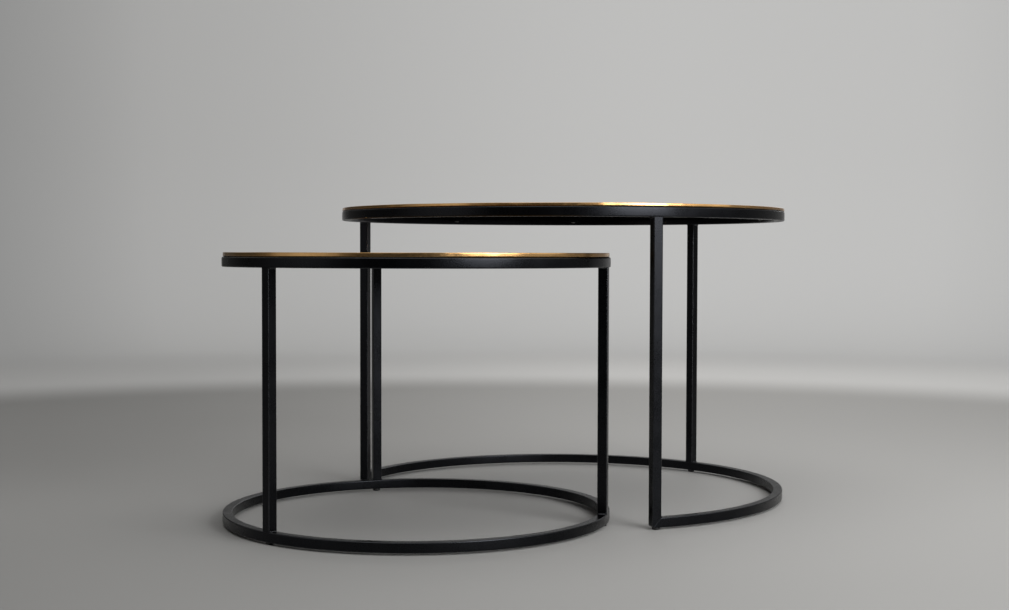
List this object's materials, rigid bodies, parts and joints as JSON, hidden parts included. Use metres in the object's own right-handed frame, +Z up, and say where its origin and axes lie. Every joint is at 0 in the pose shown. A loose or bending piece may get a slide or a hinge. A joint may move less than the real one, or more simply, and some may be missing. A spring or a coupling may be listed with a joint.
{
  "type": "nesting tables",
  "caption": "Pair of round nesting side tables: brass-coloured tray tops on black square-tube frames; the small one slides in under the large one.",
  "frame": {"origin": "on the floor, at the centre of the pair's bounding box as it stands at rest, with the small table partly pulled out", "axes": "+Z up; -Y is the side on which the large table's base is open and the small table is pulled out; +X is to the right when looking along +Y"},
  "size_m": [0.75, 1.0171, 0.488],
  "materials": {
    "frame_black": "satin black powder coat on steel tube",
    "tray_brass": "antique brass, lightly uneven, satin",
    "board_black": "black-painted fibreboard",
    "foot_plastic": "moulded black plastic",
    "screw_steel": "black-zinc plated"
  },
  "bodies": {
    "large_table": {"large_top_ring": "frame_black", "large_base_arc": "frame_black", "large_back_leg": "frame_black", "large_left_leg": "frame_black", "large_right_leg": "frame_black", "large_back_foot": "foot_plastic", "large_left_foot": "foot_plastic", "large_right_foot": "foot_plastic", "large_top_welds": "frame_black", "large_base_welds": "frame_black", "large_tray": "tray_brass", "large_backing_board": "board_black", "large_fixing_tabs": "frame_black", "large_tab_screws": "screw_steel"},
    "small_table": {"small_top_ring": "frame_black", "small_base_ring": "frame_black", "small_right_leg": "frame_black", "small_left_leg": "frame_black", "small_front_leg": "frame_black", "small_right_foot": "foot_plastic", "small_left_foot": "foot_plastic", "small_front_foot": "foot_plastic", "small_top_welds": "frame_black", "small_base_welds": "frame_black", "small_tray": "tray_brass", "small_backing_board": "board_black", "small_fixing_tabs": "frame_black", "small_tab_screws": "screw_steel"}
  },
  "joints": [
    {"name": "nest_slide", "type": "slide", "parent": "large_table", "child": "small_table", "axis": [0, 1, 0], "range_m": [-0.335, 0.398]}
  ]
}
